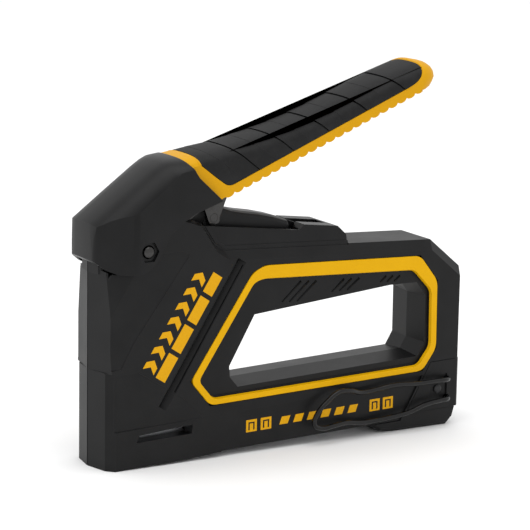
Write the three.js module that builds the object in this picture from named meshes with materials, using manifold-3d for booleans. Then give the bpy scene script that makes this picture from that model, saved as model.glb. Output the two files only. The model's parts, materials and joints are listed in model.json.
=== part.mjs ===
// Hand tacker (staple gun) with a raised squeeze handle, as an assembly of separate pieces.
// Tool frame, in millimetres: +X runs from the nose to the rear, +Z is up, Y is across the tool.
// Each profile is drawn in the side view as [x, z] and given its width across Y.
import * as THREE from 'three';
import { mergeVertices } from 'three/addons/utils/BufferGeometryUtils.js';
import Module from 'manifold-3d';

const wasm = await Module();
wasm.setup();

// ---- driving dimensions ----
const HALF_WIDTH = 15;          // housing, centre plane to side face
const FLAT_HALF_WIDTH = 11.5;   // housing, centre plane to the start of the edge chamfer
const EDGE_CHAMFER = 4.6;       // height of that chamfer, seen from the side
const SHELL_INNER = 11.8;       // inside face of the side walls
const REAR_X = 190;             // rear face of the housing
const GAP = 0.3;                // clearance between pieces that touch
const PIVOT = [16, 97.9];       // handle pivot
const PIVOT_RADIUS = 2.8;
const HOOD_HALF_WIDTH = 17.5;
const COVER_HALF_WIDTH = 11.6;    // raised cover between the two shells
const HANDLE_HALF_WIDTH = 14.5;
const LINK_PIN = [54, 108];     // joins the arched link to the handle
const ROCKER_PIN = [28, 86];    // pivot of the rocker that lifts the striker
const PANEL_DEPTH = 2.1;        // sunk panel round the finger opening
const OPENING_DRAFT = 1.2;      // how much the opening narrows at the parting line
const TRIM_DEPTH = 1.6;
const TRIM_PROUD = 0.3;
const MAGAZINE = { halfWidth: 7.4, bottom: 1.6, top: 19, front: 1.9, rear: 150, wall: 1 };
const RAIL = { halfWidth: 4, bottom: 3.6, top: 11, front: 6, rear: 166, wall: 0.8 };
const STAPLE = { halfWidth: 5.7, bottom: 3.4, top: 13.2, wire: 0.9, front: 2, rear: 58 };
const BLADE = { front: 0.1, rear: 1.4, halfWidth: 6.3, bottom: 1.2, top: 84 };
const SPRING = { x: 11.5, radius: 6.2, wire: 1.1, bottom: 39.6, top: 70.6, turns: 6 };
const HOOK_WIRE = 1.25;
const NOSE_TIP_X = -5.2;        // lowest point in front, at height 0
const FOOT_HEEL = [184.1, -5.2];   // lowest point at the rear
// Lifts the rear until nose tip and foot stand level.
const REST_TILT = Math.atan(-FOOT_HEEL[1] / (FOOT_HEEL[0] - NOSE_TIP_X));

// ---- materials ----
const finish = (color, roughness, metalness = 0) => () =>
  new THREE.MeshStandardMaterial({ color, roughness, metalness });
const charcoal = finish(0x2b2b2d, 0.55);
const yellow = finish(0xf0b400, 0.5);
const handleYellow = finish(0xe8a91a, 0.5);
const rubber = finish(0x2a2a2c, 0.8);
const brightSteel = finish(0xb9bcc0, 0.28, 1);
const springSteel = finish(0x55575a, 0.4, 1);
const blackWire = finish(0x1b1c1e, 0.35, 0.6);
const blackSteel = finish(0x222326, 0.45, 0.4);
const zincSteel = finish(0x9fa3a8, 0.4, 1);
const bumperRubber = finish(0x181818, 0.9);

// ---- solids ----
function toSolid(geometry) {
  geometry.deleteAttribute('normal');
  geometry.deleteAttribute('uv');
  const merged = mergeVertices(geometry, 1e-4);
  return new wasm.Manifold(new wasm.Mesh({
    numProp: 3,
    vertProperties: merged.attributes.position.array,
    triVerts: new Uint32Array(merged.index.array),
  }));
}

function toGeometry(solid) {
  const data = solid.getMesh();
  const geometry = new THREE.BufferGeometry();
  geometry.setAttribute('position', new THREE.BufferAttribute(data.vertProperties, 3));
  geometry.setIndex(new THREE.BufferAttribute(data.triVerts, 1));
  geometry.computeVertexNormals();
  return geometry;
}

const join = (...solids) => solids.reduce((sum, next) => sum.add(next));
const cut = (solid, ...tools) => tools.reduce((rest, tool) => rest.subtract(tool), solid);

// A closed body through side-view outlines of equal length, given as [y, points] with y rising.
function loft(sections) {
  const count = sections[0][1].length;
  const vectors = sections[0][1].map(([x, z]) => new THREE.Vector2(x, z));
  const order = THREE.ShapeUtils.isClockWise(vectors) ? -1 : 1;
  const position = sections.flatMap(([y, points]) => points.flatMap(([x, z]) => [x, y, z]));
  const index = [];
  const face = (a, b, c) => index.push(...(order > 0 ? [a, b, c] : [a, c, b]));
  const cap = (k, flip) => {
    const ring = sections[k][1].map(([x, z]) => new THREE.Vector2(x, z));
    if (order < 0) ring.reverse();
    const at = (i) => k * count + (order < 0 ? count - 1 - i : i);
    for (const [a, b, c] of THREE.ShapeUtils.triangulateShape(ring, [])) {
      if (flip) index.push(at(a), at(c), at(b));
      else index.push(at(a), at(b), at(c));
    }
  };
  cap(0, false);
  cap(sections.length - 1, true);
  for (let k = 0; k + 1 < sections.length; k += 1) {
    for (let i = 0; i < count; i += 1) {
      const j = (i + 1) % count;
      const low = k * count;
      const high = low + count;
      face(low + i, high + i, low + j);
      face(low + j, high + i, high + j);
    }
  }
  const geometry = new THREE.BufferGeometry();
  geometry.setAttribute('position', new THREE.Float32BufferAttribute(position, 3));
  geometry.setIndex(index);
  return toSolid(geometry);
}

// Moves each side of an outline inwards by its own distance; side i runs from point i to i + 1.
function inset(points, distances) {
  const count = points.length;
  const area = points.reduce((sum, [x, z], i) => {
    const [nx, nz] = points[(i + 1) % count];
    return sum + x * nz - nx * z;
  }, 0);
  const inward = Math.sign(area);
  const sides = points.map(([x, z], i) => {
    const [nx, nz] = points[(i + 1) % count];
    const length = Math.hypot(nx - x, nz - z);
    const normal = [-inward * (nz - z) / length, inward * (nx - x) / length];
    const distance = Array.isArray(distances) ? distances[i] : distances;
    return { normal, offset: normal[0] * x + normal[1] * z + distance };
  });
  return sides.map((side, i) => {
    const before = sides[(i + count - 1) % count];
    const [a, b] = before.normal;
    const [c, d] = side.normal;
    const determinant = a * d - b * c;
    return [
      (before.offset * d - side.offset * b) / determinant,
      (a * side.offset - c * before.offset) / determinant,
    ];
  });
}

// A prism across Y of a side-view outline.
const slab = (points, y0, y1) => loft([[y0, points], [y1, points]]);

// A prism along X of a [y, z] outline.
function bar(points, x0, x1) {
  const shape = new THREE.Shape(points.map(([y, z]) => new THREE.Vector2(y, z)));
  const geometry = new THREE.ExtrudeGeometry(shape, { depth: x1 - x0, bevelEnabled: false });
  geometry.applyMatrix4(new THREE.Matrix4().set(0, 0, 1, x0, 1, 0, 0, 0, 0, 1, 0, 0, 0, 0, 0, 1));
  return toSolid(geometry);
}

// A prism along Z of an [x, y] outline.
function pillar(points, z0, z1) {
  const shape = new THREE.Shape(points.map(([x, y]) => new THREE.Vector2(x, y)));
  const geometry = new THREE.ExtrudeGeometry(shape, { depth: z1 - z0, bevelEnabled: false });
  geometry.translate(0, 0, z0);
  return toSolid(geometry);
}

function box(x0, x1, y0, y1, z0, z1) {
  const geometry = new THREE.BoxGeometry(x1 - x0, y1 - y0, z1 - z0);
  geometry.translate((x0 + x1) / 2, (y0 + y1) / 2, (z0 + z1) / 2);
  return toSolid(geometry);
}

// A round bar across Y, or a turned profile when radii are given as [radius, y] pairs.
function turned([x, z], profile, segments = 24) {
  const closed = [[0, profile[0][1]], ...profile, [0, profile[profile.length - 1][1]]];
  const points = closed.map(([radius, y]) => new THREE.Vector2(radius, y));
  const geometry = new THREE.LatheGeometry(points, segments);
  geometry.translate(x, 0, z);
  return toSolid(geometry);
}

const pinAcross = (centre, radius, y0, y1, segments = 24) =>
  turned(centre, [[radius, y0], [radius, y1]], segments);

// A round wire of a given radius along a smooth route.
function wire(points, radius, steps, sides) {
  const route = new THREE.CatmullRomCurve3(points.map((p) => new THREE.Vector3(...p)));
  const section = new THREE.Shape();
  for (let i = 0; i < sides; i += 1) {
    const angle = (2 * Math.PI * i) / sides;
    const corner = [radius * Math.cos(angle), radius * Math.sin(angle)];
    if (i === 0) section.moveTo(...corner);
    else section.lineTo(...corner);
  }
  const geometry = new THREE.ExtrudeGeometry(section, { steps, extrudePath: route });
  return toSolid(geometry);
}

const ring = (count, make) => Array.from({ length: count }, (_, i) => make(i));

// ---- the assembly ----
const tool = new THREE.Group();
function add(name, solid, material) {
  const mesh = new THREE.Mesh(toGeometry(solid), material());
  mesh.name = name;
  tool.add(mesh);
}

// ---- housing outlines ----
// Side view of the two half shells, from the nose round the bottom, rear and top.
const HOUSING = [
  [NOSE_TIP_X, 0], [34, 0], [59, 1], [157, 1], [172.5, 27.4], [REAR_X, 27.4], [REAR_X, 71.5],
  [172.6, 86.1], [124, 89.3], [57.5, 93.7], [52.6, 96.9], [45.7, 107.2], [40, 109.2],
  [20, 108.5], [3, 99.5], [-5.2, 96.5],
];
// How far the edge chamfer comes in along each side of that outline.
const CHAMFERS = [0, 0, 0, 0, 0, 1.6, 4.2, EDGE_CHAMFER, EDGE_CHAMFER, 3, 2, 1.5, 0, 0, 0, 0];
// Finger opening where it meets the sunk panel.
const OPENING = [
  [74, 62.1], [60.8, 39.7], [61.2, 34.6], [65.4, 29.6], [166, 30.6], [169.9, 36.9],
  [169.8, 59.5], [164.5, 66.6], [149, 67],
];
const TRIM_OUTER = [
  [77.9, 84.8], [71.4, 82], [39.3, 35.8], [49.5, 23.5], [167.7, 23.7], [175.4, 33.8],
  [175, 66.6], [164.7, 79.6],
];
const TRIM_INNER = [
  [76.8, 78.7], [69.9, 76.7], [44, 36.1], [51, 27], [164.9, 27.4], [172.2, 35.6],
  [171.7, 62.4], [161.4, 73.3],
];
const LABEL_PANEL = [[54, -2], [66.5, 18.6], [98, 18.9], [106, 20.2], [168, 21.4], [154, -2]];
const LOGO_GROOVE = [[62.4, 87.4], [66.6, 86.2], [31.4, 31.8], [27.6, 34]];
const NOSE_WINDOW = [[11.3, 11.5], [12.9, 14.8], [40.7, 16], [39.9, 11.8]];
const SCREWS = [[33, 44], [42, 64], [95, 71.4], [177, 71.2], [181.5, 36]];

// ---- housing ----
// Plan views of the nose: a shallow ridge down the front and a chamfer to each side face.
function nosePlan(cornerX, cornerY, sideX) {
  const half = [[cornerX, cornerY], [sideX, HALF_WIDTH + 1], [220, HALF_WIDTH + 1]];
  const mirrored = half.map(([x, y]) => [x, -y]).reverse();
  return [[-5.2, 0], ...half, ...mirrored];
}

// A half space as a large block whose face passes through three points.
function halfSpace(p, q, r) {
  const [a, b, c] = [p, q, r].map((point) => new THREE.Vector3(...point));
  const normal = new THREE.Vector3().crossVectors(b.sub(a), c.sub(a)).normalize();
  const size = 120;
  const geometry = new THREE.BoxGeometry(size, size, size);
  geometry.translate(0, 0, size / 2);
  const turn = new THREE.Quaternion().setFromUnitVectors(new THREE.Vector3(0, 0, 1), normal);
  geometry.applyQuaternion(turn);
  geometry.translate(...p);
  return toSolid(geometry);
}

function housingBody() {
  const side = inset(HOUSING, CHAMFERS);
  const body = loft([
    [-HALF_WIDTH, side], [-FLAT_HALF_WIDTH, HOUSING], [FLAT_HALF_WIDTH, HOUSING],
    [HALF_WIDTH, side],
  ]);
  const plan = join(
    pillar(nosePlan(-2.8, 11.5, 1.4), -1, 44.5),
    pillar(nosePlan(-1.6, 14.6, -1.2), 44.5, 88.4),
    pillar(nosePlan(-4, 7, 14.5), 88.4, 120),
  );
  const [top, foot, front] = [[14, 88], [-1.3, 64], [-2.4, 90]];
  const facets = [1, -1].map((side) => {
    const corners = [
      [top[0], side * HALF_WIDTH, top[1]], [foot[0], side * HALF_WIDTH, foot[1]],
      [front[0], side * 11.2, front[1]],
    ];
    return halfSpace(...(side > 0 ? corners : corners.reverse()));
  });
  return cut(body.intersect(plan), ...facets);
}

function housingCavities() {
  const across = (points, half) => slab(points, -half, half);
  return join(
    across([[-1.5, 19], [37, 19], [33, 34], [70, 86], [70, 120], [5, 120], [-1.5, 98]], SHELL_INNER),
    across([[-2.9, 68], [10, 68], [10, 120], [-2.9, 120]], 3.5),
    across([[-1.5, -2], [180, -2], [180, 20.5], [-1.5, 20.5]], 8.4),
    across([[60, 74], [162, 70.5], [168, 66.5], [176, 66], [176, 70], [168, 82], [128, 84.6],
      [60, 88]], 11),
    across([[174, 32], [185.5, 32], [185.5, 66], [176, 71.5]], 11),
    across([[46, 82], [126, 82], [126, 120], [46, 120]], COVER_HALF_WIDTH + GAP),
  );
}

function openingCut() {
  const narrow = inset(OPENING, OPENING_DRAFT);
  const wide = inset(OPENING, -0.3);
  return loft([[-HALF_WIDTH - 1, wide], [0, narrow], [HALF_WIDTH + 1, wide]]);
}

function surfaceCuts(sign) {
  const outer = sign * (HALF_WIDTH + 1);
  const at = (points, depth) => {
    const inner = sign * (HALF_WIDTH - depth);
    return slab(points, Math.min(inner, outer), Math.max(inner, outer));
  };
  return [
    at(inset(TRIM_OUTER, -GAP), TRIM_DEPTH),
    at(TRIM_INNER, PANEL_DEPTH),
    at(LABEL_PANEL, 0.8),
    at(LOGO_GROOVE, 1),
    at(NOSE_WINDOW, 9),
  ];
}

function screwBosses(y0, y1) {
  return join(...SCREWS.map((centre) => pinAcross(centre, 3.9, y0, y1, 16)));
}

const rockerBoss = (y0, y1) => pinAcross(ROCKER_PIN, 4.5, y0, y1, 16);

function shells() {
  const whole = cut(housingBody(), housingCavities(), openingCut());
  const pivotHoles = join(
    pinAcross(PIVOT, PIVOT_RADIUS + GAP, -20, 20),
    pinAcross(ROCKER_PIN, 2 + GAP, -13.2, 13.2, 16),
  );
  const half = (sign) => {
    const side = sign < 0 ? box(-30, 220, -30, -0.02, -30, 140) : box(-30, 220, 0.02, 30, -30, 140);
    const bossEnd = sign * SHELL_INNER;
    const screwBoss = screwBosses(Math.min(sign * 0.1, bossEnd), Math.max(sign * 0.1, bossEnd));
    const boss = rockerBoss(Math.min(sign * 5, bossEnd), Math.max(sign * 5, bossEnd));
    const shell = join(whole.intersect(side), screwBoss, boss);
    return cut(shell, pivotHoles, openingCut(), ...surfaceCuts(sign));
  };
  const blind = join(...SCREWS.map((c) => pinAcross(c, 1.5 + GAP, -9.5, 1, 12)));
  const through = join(...SCREWS.map((c) =>
    turned(c, [[1.5 + GAP, -1], [1.5 + GAP, 10], [3.1, 10], [3.1, 16]], 16)));
  add('left_shell', cut(half(-1), blind), charcoal);
  add('right_shell', cut(half(1), through), charcoal);
}

function trims() {
  const make = (sign) => {
    const inner = sign * (HALF_WIDTH - TRIM_DEPTH + GAP);
    const outer = sign * (HALF_WIDTH + TRIM_PROUD);
    const [y0, y1] = [Math.min(inner, outer), Math.max(inner, outer)];
    return cut(slab(TRIM_OUTER, y0, y1), slab(TRIM_INNER, y0 - 1, y1 + 1));
  };
  add('left_trim', make(-1), yellow);
  add('right_trim', make(1), yellow);
}

function housingScrews() {
  SCREWS.forEach((centre, i) => {
    const screw = turned(centre, [[1.5, -8.8], [1.5, 10.3], [2.7, 10.3], [2.7, 12], [2, 12.6]], 12);
    add(`housing_screw_${i + 1}`, screw, zincSteel);
  });
}

// Raised cover in the top of the housing, with a trough for the link and a slot behind it.
function topCover() {
  const outline = [
    [46.4, 105.6], [98.6, 98.2], [101, 100.6], [119.6, 98], [124.4, 93.6], [125.6, 86],
    [125.6, 82.6], [62, 82.6], [62, 90], [46.4, 96],
  ];
  const body = slab(outline, -COVER_HALF_WIDTH, COVER_HALF_WIDTH);
  const trough = box(40, 99, -9.6, 9.6, 85, 130);
  const slot = box(98, 117.6, -4.3, 4.3, 86.5, 130);
  const openFront = box(40, 64, -9.6, 9.6, 70, 130);
  const lip = [-1, 1].map((side) => bar([
    [side * 12, 120], [side * 12, 96.6], [side * 10.4, 120],
  ], 90, 126));
  add('top_cover', cut(body, trough, slot, openFront, ...lip), charcoal);
}

// ---- nose, striker and power spring ----
function noseParts() {
  const guide = cut(box(-1.2, -0.2, -7.4, 7.4, 0.4, 62), box(-2, 0, -2, 2, 30, 50));
  add('nose_plate', guide, brightSteel);
  const blade = join(
    box(BLADE.front, BLADE.rear, -BLADE.halfWidth, BLADE.halfWidth, 26, BLADE.top),
    box(BLADE.front, BLADE.rear, -5.6, 5.6, BLADE.bottom, 27),
  );
  add('striker_blade', cut(blade, box(-1, 3, -3.4, 3.4, 74, 82)), brightSteel);
  const block = cut(
    box(BLADE.rear + GAP, 20, -7, 7, 27.5, 38.4),
    box(BLADE.rear - 1, 5, -3, 3, 36, 40),
  );
  add('hammer_block', block, zincSteel);
  add('bumper', box(2.4, 20, -8, 8, 21.4, 27.2), bumperRubber);
  const perTurn = 14;
  const pitch = (SPRING.top - SPRING.bottom) / SPRING.turns;
  const coil = ring(SPRING.turns * perTurn + 1, (i) => {
    const angle = (2 * Math.PI * i) / perTurn;
    return [SPRING.x + SPRING.radius * Math.cos(angle), SPRING.radius * Math.sin(angle),
      SPRING.bottom + (pitch * i) / perTurn];
  });
  add('power_spring', wire(coil, SPRING.wire, SPRING.turns * perTurn, 6), springSteel);
  add('spring_seat', box(2.2, 23, -11.4, 11.4, 72.1, 74.4), zincSteel);
}

// Rocker: its rear pad is pushed down by the link and its front tip lifts the striker.
function rocker() {
  const [px, pz] = ROCKER_PIN;
  const outline = [
    [-0.6, 76.2], [4, 77], [16, 79.6], [px - 3, pz - 5], [px + 4, pz - 5], [44, 87.4],
    [55, 91.8], [56.4, 95], [54.8, 98], [50, 98.2], [40, 95], [px + 3, pz + 5], [px - 4, pz + 4.6],
    [14, 85.6], [4, 81.6], [-0.6, 80.2],
  ];
  const plate = slab(outline, -3, 3);
  const hub = pinAcross(ROCKER_PIN, 4.4, -4.6, 4.6, 20);
  const hole = pinAcross(ROCKER_PIN, 2 + 0.05, -9, 9, 20);
  add('lift_rocker', cut(join(plate, hub), hole), blackSteel);
  add('rocker_pin', pinAcross(ROCKER_PIN, 2, -12.9, 12.9, 20), brightSteel);
}

// ---- handle ----
const HOOD = [
  [-8, 95], [-2.7, 90.6], [2, 88.6], [12.6, 88.2], [17, 90.2], [20.4, 93.6], [27.1, 106],
  [33.6, 110.2], [39.8, 115.6], [54, 117.2], [41.4, 128.8], [31, 135.7], [28, 134.6],
  [23.5, 132.4], [7, 121.4], [-8, 111],
];
const BAND = [
  [54, 117.2], [58, 118.4], [58.2, 122.2], [50.8, 127.6], [43.5, 133.4], [38.6, 136.6],
  [31, 135.7], [41.4, 128.8],
];
const HANDLE = [
  [54.3, 117.1], [161.5, 157.4], [169.6, 158.1], [173.6, 160.6], [174.8, 163.8], [173, 168],
  [169.8, 169.6], [166, 170], [154, 166.7], [142, 162.8], [122, 155.3], [103, 148.7],
  [82.5, 143.4], [70, 140.8], [52, 138.3], [38.6, 136.6], [43.5, 133.4], [50.8, 127.6],
];
// Where the soft grip covers the frame.
const GRIP_AREA = [
  [38.8, 160], [38.8, 136.8], [44, 133.4], [51.2, 127.9], [58.4, 122.6], [155.8, 159.7],
  [160.6, 163], [163.8, 190], [100, 190],
];
// Hard inner core that the grip is moulded round.
const GRIP_CORE = [
  [44, 134.6], [54, 126], [60, 121], [156, 157], [158.6, 163], [157.4, 165], [145, 161.4],
  [122, 152.8], [103.1, 146.6], [82.5, 141.2], [71.1, 138.8], [51.9, 136],
];

// How far each corner of the handle outline moves towards the grip's middle at the side faces.
const HANDLE_CLOSING = [
  [0, 0], [0, 0], [-5, 0], [-7, 0], [-7.6, -1], [-7, -3], [-5, -4], [-3, -4.6],
  ...Array(7).fill([1.2, -4.6]), [0.4, -1.4], [0, 0], [0, 0],
];

function handleBody() {
  const closed = (share) => HANDLE.map(([x, z], i) => {
    const [dx, dz] = HANDLE_CLOSING[i];
    return [x + dx * share, z + dz * share];
  });
  const steps = [[6, 0], [9.5, 0.15], [12, 0.4], [13.8, 0.75], [HANDLE_HALF_WIDTH, 1]];
  const right = steps.map(([y, share]) => [y, closed(share)]);
  const left = right.map(([y, points]) => [-y, points]).reverse();
  return loft([...left, ...right]);
}

function handle() {
  const whole = handleBody();
  const area = (grow) => slab(inset(GRIP_AREA, -grow), -30, 30);
  const core = (grow) => slab(inset(GRIP_CORE, -grow), -11.7 - grow, 11.7 + grow);
  // Hollow underside: the cover rails enter its mouth and the link goes up inside.
  const mouth = slab([[40, 100], [130, 142], [124, 151], [53, 126.5], [44, 126]], -12.3, 12.3);
  const hollow = slab([
    [30, 100], [158, 150], [150, 159.6], [122, 151.4], [103, 145], [82.5, 139.4], [71, 137],
    [52, 133.9], [34.4, 133.9],
  ], -9.5, 9.5);
  add('handle_grip', cut(whole.intersect(area(0)), core(GAP), hollow), rubber);
  const gripRoom = cut(area(GAP), core(0));
  const band = slab(BAND, -HANDLE_HALF_WIDTH, HANDLE_HALF_WIDTH);
  add('handle_frame', cut(join(whole, band), gripRoom, mouth, hollow), handleYellow);
}

// Mirrored sections of a profile whose listed sides close in towards each side face.
function crowned(points, sides, steps) {
  const at = (amount) => inset(points, points.map((_, i) => (sides.includes(i) ? amount : 0)));
  const right = steps.map(([y, amount]) => [y, at(amount)]);
  return loft([...right.map(([y, p]) => [-y, p]).reverse(), ...right]);
}

// Hood over the nose: flat front, long corner chamfers and a rounded roof.
function hood() {
  const plan = (front, frontHalf, sideX, half) => pillar([
    [front, -frontHalf], [sideX, -half], [80, -half], [80, half], [sideX, half], [front, frontHalf],
  ], 70, 160);
  const roof = [11, 12, 13, 14];
  const body = crowned(HOOD, roof, [[10.5, 0], [14, 1.6], [HOOD_HALF_WIDTH, 7]])
    .intersect(plan(-8, 10.5, 9.6, HOOD_HALF_WIDTH));
  const hollow = crowned([
    [-12, 84], [20, 84], [50, 110], [70, 114], [70, 133.4], [33, 133.6], [28, 132.2],
    [23.5, 130], [8.2, 119.4], [-12, 104.8],
  ], [4, 5, 6, 7, 8], [[8.9, 0], [13, 2], [15.5, 5]]).intersect(plan(-6.2, 8.6, 11.2, 15.5));
  const hex = (y0, y1) => pinAcross(PIVOT, 4.9, y0, y1, 6);
  add('handle_hood', cut(
    body, hollow, slab(inset(BAND, -GAP), -20, 20), pinAcross(PIVOT, PIVOT_RADIUS + GAP, -20, 20),
    hex(16.6, 19), hex(-19, -16.6),
  ), charcoal);
}

// Pressed steel channel inside the hood and grip: two cheeks joined by a roof.
function handleCore() {
  const cheek = [
    [9, 95], [12, 91.2], [20, 91], [27, 97], [34, 103], [44, 110], [49, 112.5], [51.6, 105.6],
    [54, 104.4], [56.6, 105.6], [60, 112.5], [83, 132], [93, 139], [122, 148.6], [146, 153],
    [146, 157.8], [122, 150.6], [103, 144.2], [82.5, 138.6], [71, 136.2], [52, 133], [36, 133],
    [26, 128], [14, 114], [9, 102],
  ];
  const inside = slab([
    [-5, 80], [70, 80], [160, 140], [147, 156.4], [122, 149], [103, 142.6], [82.5, 137],
    [71, 134.6], [52, 131.4], [36.3, 131.4], [27, 126.6], [15, 112.8], [-5, 112.8],
  ], -7.6, 7.6);
  const pivotHole = pinAcross(PIVOT, PIVOT_RADIUS + 0.1, -20, 20);
  const linkHole = pinAcross(LINK_PIN, 2, -20, 20, 20);
  add('handle_core', cut(slab(cheek, -9.2, 9.2), inside, pivotHole, linkHole), brightSteel);
  add('link_pin', pinAcross(LINK_PIN, 1.9, -9.2, 9.2, 20), brightSteel);
  const [px, pz] = PIVOT;
  const coil = ring(19, (i) => {
    const angle = (2 * Math.PI * (i + 3)) / 14;
    return [px + 4.6 * Math.cos(angle), 9.8 + 0.07 * i, pz + 4.6 * Math.sin(angle)];
  });
  const legs = [[px + 16, 9.8, pz + 22], ...coil, [px - 9, 11.06, pz - 6]];
  add('return_spring', wire(legs, 0.5, 60, 6), springSteel);
}

// Arched link: pinned to the handle in front, its rear tongue slides in the cover's slot.
function archedLink() {
  const outline = [
    [49.6, 105.5], [51, 110.6], [55, 113.2], [60, 112], [66, 109.8], [72, 108.4], [80, 106.9],
    [88, 104.9], [95, 102.6], [101, 100.2], [107, 97.2], [107.4, 94.4], [104, 92.8], [98, 94.6],
    [85, 98], [70, 101.4], [60, 102.6], [57.2, 100.6], [55, 99.5], [52, 99.5], [50, 101.5],
  ];
  const body = crowned(outline, [2, 3, 4, 5, 6, 7, 8, 9], [[4, 0], [6, 0.7], [7, 2.2]]);
  const sides = join(box(95.6, 120, 3.5, 10, 80, 120), box(95.6, 120, -10, -3.5, 80, 120));
  add('arched_link', cut(body, sides, pinAcross(LINK_PIN, 2, -9, 9, 20)), blackSteel);
}

function pivotPin() {
  const profile = [
    [1.2, -17.9], [2.2, -17.5], [2.8, -16.8], [2.8, 16.8], [2.2, 17.5], [1.2, 17.9],
  ];
  add('pivot_pin', turned(PIVOT, profile), brightSteel);
}

// ---- magazine and pusher ----
// Section of an upside-down or upright channel, as [y, z] points.
function channel(halfWidth, bottom, top, wall, open) {
  const [base, mouth] = open === 'top' ? [bottom, top] : [top, bottom];
  const floor = open === 'top' ? base + wall : base - wall;
  return [
    [-halfWidth, base], [halfWidth, base], [halfWidth, mouth], [halfWidth - wall, mouth],
    [halfWidth - wall, floor], [wall - halfWidth, floor], [wall - halfWidth, mouth],
    [-halfWidth, mouth],
  ];
}

function magazine() {
  const { halfWidth, bottom, top, front, rear, wall } = MAGAZINE;
  add('magazine_channel', bar(channel(halfWidth, bottom, top, wall, 'top'), front, rear), zincSteel);
  const staples = channel(STAPLE.halfWidth, STAPLE.bottom, STAPLE.top, STAPLE.wire, 'bottom');
  add('staple_strip', bar(staples, STAPLE.front, STAPLE.rear), brightSteel);
}

function pusher() {
  const { halfWidth, bottom, top, front, rear, wall } = RAIL;
  add('pusher_rail', bar(channel(halfWidth, bottom, top, wall, 'top'), front, rear), zincSteel);
  const saddle = bar(channel(5.6, 3.6, 13.2, 1.2, 'bottom'), STAPLE.rear + 0.4, STAPLE.rear + 12);
  const tab = box(STAPLE.rear + 2, STAPLE.rear + 4, -2.8, 2.8, 4.9, 12.6);
  add('staple_pusher', join(saddle, tab), blackSteel);
  const turns = 26;
  const perTurn = 10;
  const [x0, x1] = [STAPLE.rear + 5, rear - 3.5];
  const coil = ring(turns * perTurn + 1, (i) => {
    const angle = (2 * Math.PI * i) / perTurn;
    return [x0 + ((x1 - x0) * i) / (turns * perTurn), 2.4 * Math.cos(angle), 7.7 + 2.4 * Math.sin(angle)];
  });
  add('pusher_spring', wire(coil, 0.4, turns * perTurn, 4), springSteel);
  const toeX = 152.5;
  const foot = [
    [139.3, 0.6], [144.6, -3.1], [toeX, (NOSE_TIP_X - toeX) * Math.tan(REST_TILT)], FOOT_HEEL,
    [185.9, -3.7], [188, 3.4], [159.2, 3.4], [157.2, 0.6],
  ];
  const shoe = crowned(foot, [0, 1, 2, 3], [[12.6, 0], [14.2, 1.5]]);
  const tongue = box(160, 188.6, -8.1, 8.1, 3, 16.5);
  const room = box(150, 166.4, -4.3, 4.3, 3.3, 11.3);
  add('pusher_handle', cut(join(shoe, tongue), room), charcoal);
}

// ---- rear cap and belt hook ----
const HOOK_ROUTE = [
  [182.6, -11.6, 17.8], [182.6, -15.4, 17.8], [180.4, -18.2, 18.4], [174, -19, 18.8],
  [161, -19, 19.1], [150, -18.6, 20], [139, -17.4, 18.9], [131, -17.4, 18.8], [123.5, -19, 21.1],
  [116.7, -19.2, 21.2], [110.5, -19.2, 17.4], [105.2, -19.2, 12.4], [103.8, -19.2, 7.8],
  [107.6, -19, 5.3], [115, -18.6, 5.3], [123.2, -17.6, 5.4], [132, -17, 4], [139, -17, 3.9],
  [149.6, -17.8, 4.5], [158.5, -18.4, 5.6], [167.4, -18.6, 8], [176.4, -18.6, 8.8],
  [180.8, -18, 8.8], [182.7, -15.4, 8.7], [182.7, -11.6, 8.7],
];
const HOOK_SCREW = [177.4, 13.4];

function rearCap() {
  const outline = [[159, 3.8], [172.7, 27.1], [REAR_X, 27.1], [REAR_X, 3.8]];
  const body = crowned(outline, [2], [[13.4, 0], [HALF_WIDTH, 1.6]]);
  const tunnel = box(140, 200, -8.4, 8.4, 2, 16.8);
  const anchors = [HOOK_ROUTE[0], HOOK_ROUTE[HOOK_ROUTE.length - 1]].map(([x, , z]) =>
    pinAcross([x, z], HOOK_WIRE + GAP, -20, -11.2, 12));
  const recess = slab([[171.5, 8], [173.5, 19], [182.6, 20.6], [182.6, 6]], -16, -14.2);
  const screwHole = turned(HOOK_SCREW, [[1.3, -10], [1.3, -16]].reverse(), 12);
  add('rear_cap', cut(body, tunnel, recess, ...anchors, screwHole), charcoal);
  add('belt_hook', wire(HOOK_ROUTE, HOOK_WIRE, 76, 8), blackWire);
  const screw = [[1.4, -15.2], [2.1, -14.9], [2.1, -14.3], [1, -14.3], [1, -10.4]];
  add('hook_screw', turned(HOOK_SCREW, screw, 12), blackSteel);
}

tool.name = 'staple_gun';
shells();
trims();
housingScrews();
topCover();
noseParts();
rocker();
handle();
hood();
handleCore();
archedLink();
pivotPin();
magazine();
pusher();
rearCap();

const assembly = new THREE.Group();
assembly.add(tool);
tool.rotation.y = -REST_TILT;
assembly.updateMatrixWorld(true);
const bounds = new THREE.Box3().setFromObject(assembly, true);
tool.position.set(
  -(bounds.min.x + bounds.max.x) / 2, -(bounds.min.y + bounds.max.y) / 2, -bounds.min.z,
);

export default assembly;
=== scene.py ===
# %% [markdown]
# A hand staple gun in black moulded plastic with a yellow frame line. Its solids come packed from
# the CAD, and the cells below make the finishes and the visible pieces. Loading the solids first
# gives the joints and the bodies that the new pieces refer to.

# %% Load the solids
import json
import math

import bmesh
import bpy
from mathutils import Matrix, Vector


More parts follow.
